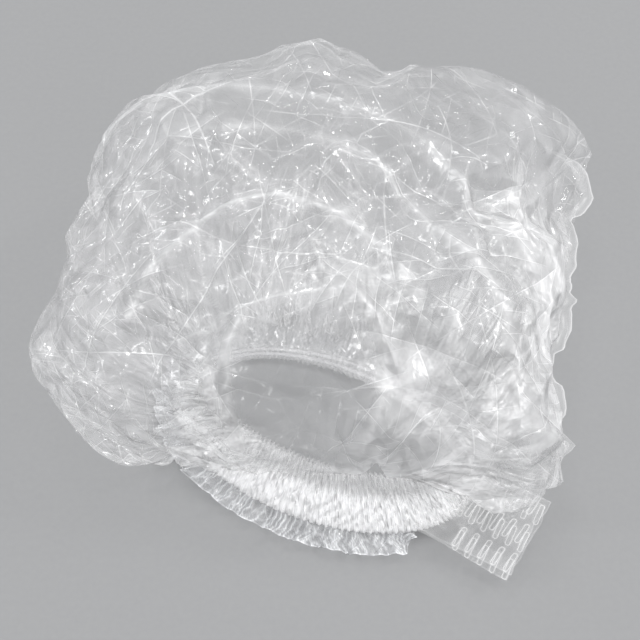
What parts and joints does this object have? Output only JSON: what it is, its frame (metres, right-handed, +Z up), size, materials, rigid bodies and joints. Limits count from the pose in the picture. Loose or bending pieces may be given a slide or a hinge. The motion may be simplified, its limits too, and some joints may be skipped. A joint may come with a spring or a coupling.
{
  "type": "disposable hair cap",
  "caption": "Clear disposable film hair cap, crumpled and puffed, lying mouth down, with a gathered elastic hem, a ruffled frill and an embossed seal tab.",
  "frame": {"origin": "middle of the foot of the box round the whole cap, on the table", "axes": "+Z up from the table, +Y from the front of the mouth to the back of the crown, +X towards the side with the seal tab"},
  "size_m": [0.2296, 0.2336, 0.104],
  "materials": {
    "clear_film": "clear glossy polyethylene film with sharp creases",
    "gathered_film": "the same film, finely gathered so that it looks white",
    "elastic": "pale matt elastic strand"
  },
  "bodies": {
    "root": {"crown_film": "clear_film", "hem_outer_ply": "gathered_film", "hem_inner_ply": "gathered_film", "elastic_strand_upper": "elastic", "elastic_strand_lower": "elastic", "frill": "clear_film", "side_seam": "clear_film", "seal_tab_back_ply": "clear_film", "seal_tab_front_ply": "clear_film"}
  },
  "joints": []
}
